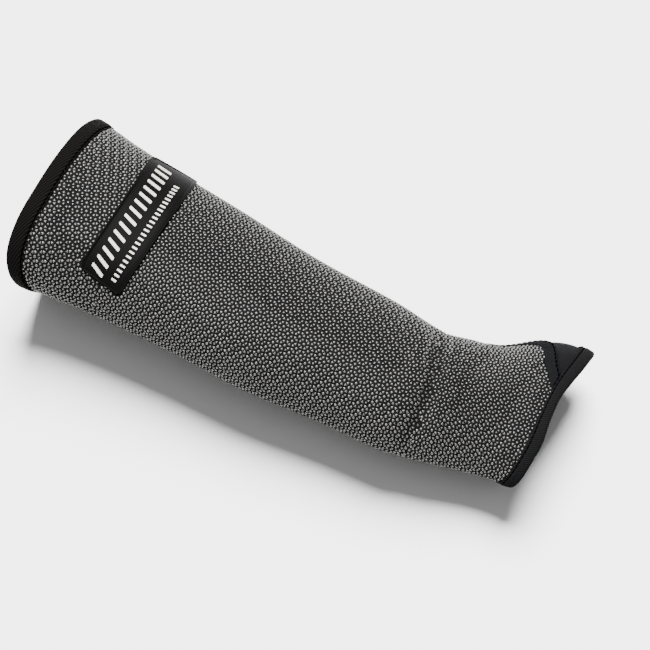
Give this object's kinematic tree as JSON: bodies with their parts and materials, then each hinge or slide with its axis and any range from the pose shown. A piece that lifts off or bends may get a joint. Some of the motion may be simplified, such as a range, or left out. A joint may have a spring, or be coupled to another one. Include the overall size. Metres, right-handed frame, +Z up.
{
  "type": "cut resistant sleeve",
  "caption": "Tapered forearm sleeve of grey plated cut resistant cloth with black bound ends, a rubber label patch and a stretch gusset at the bent wrist end.",
  "frame": {"origin": "centre of the bounding box at floor level, under the sleeve as it lies on its side", "axes": "+X along the sleeve from the elbow end to the wrist end, +Y towards the gusset side, +Z up"},
  "size_m": [0.3128, 0.1276, 0.0691],
  "materials": {
    "plated_cloth": "matt woven cloth set with small hard domed plates",
    "stretch_cloth": "matt knitted stretch cloth",
    "tape": "matt twill tape",
    "label_rubber": "satin moulded rubber"
  },
  "bodies": {
    "root": {"fabric_shell": "plated_cloth", "wrist_gusset": "stretch_cloth", "gusset_tape_near": "tape", "gusset_tape_far": "tape", "elbow_binding": "tape", "wrist_binding": "tape", "label_patch": "label_rubber"}
  },
  "joints": []
}
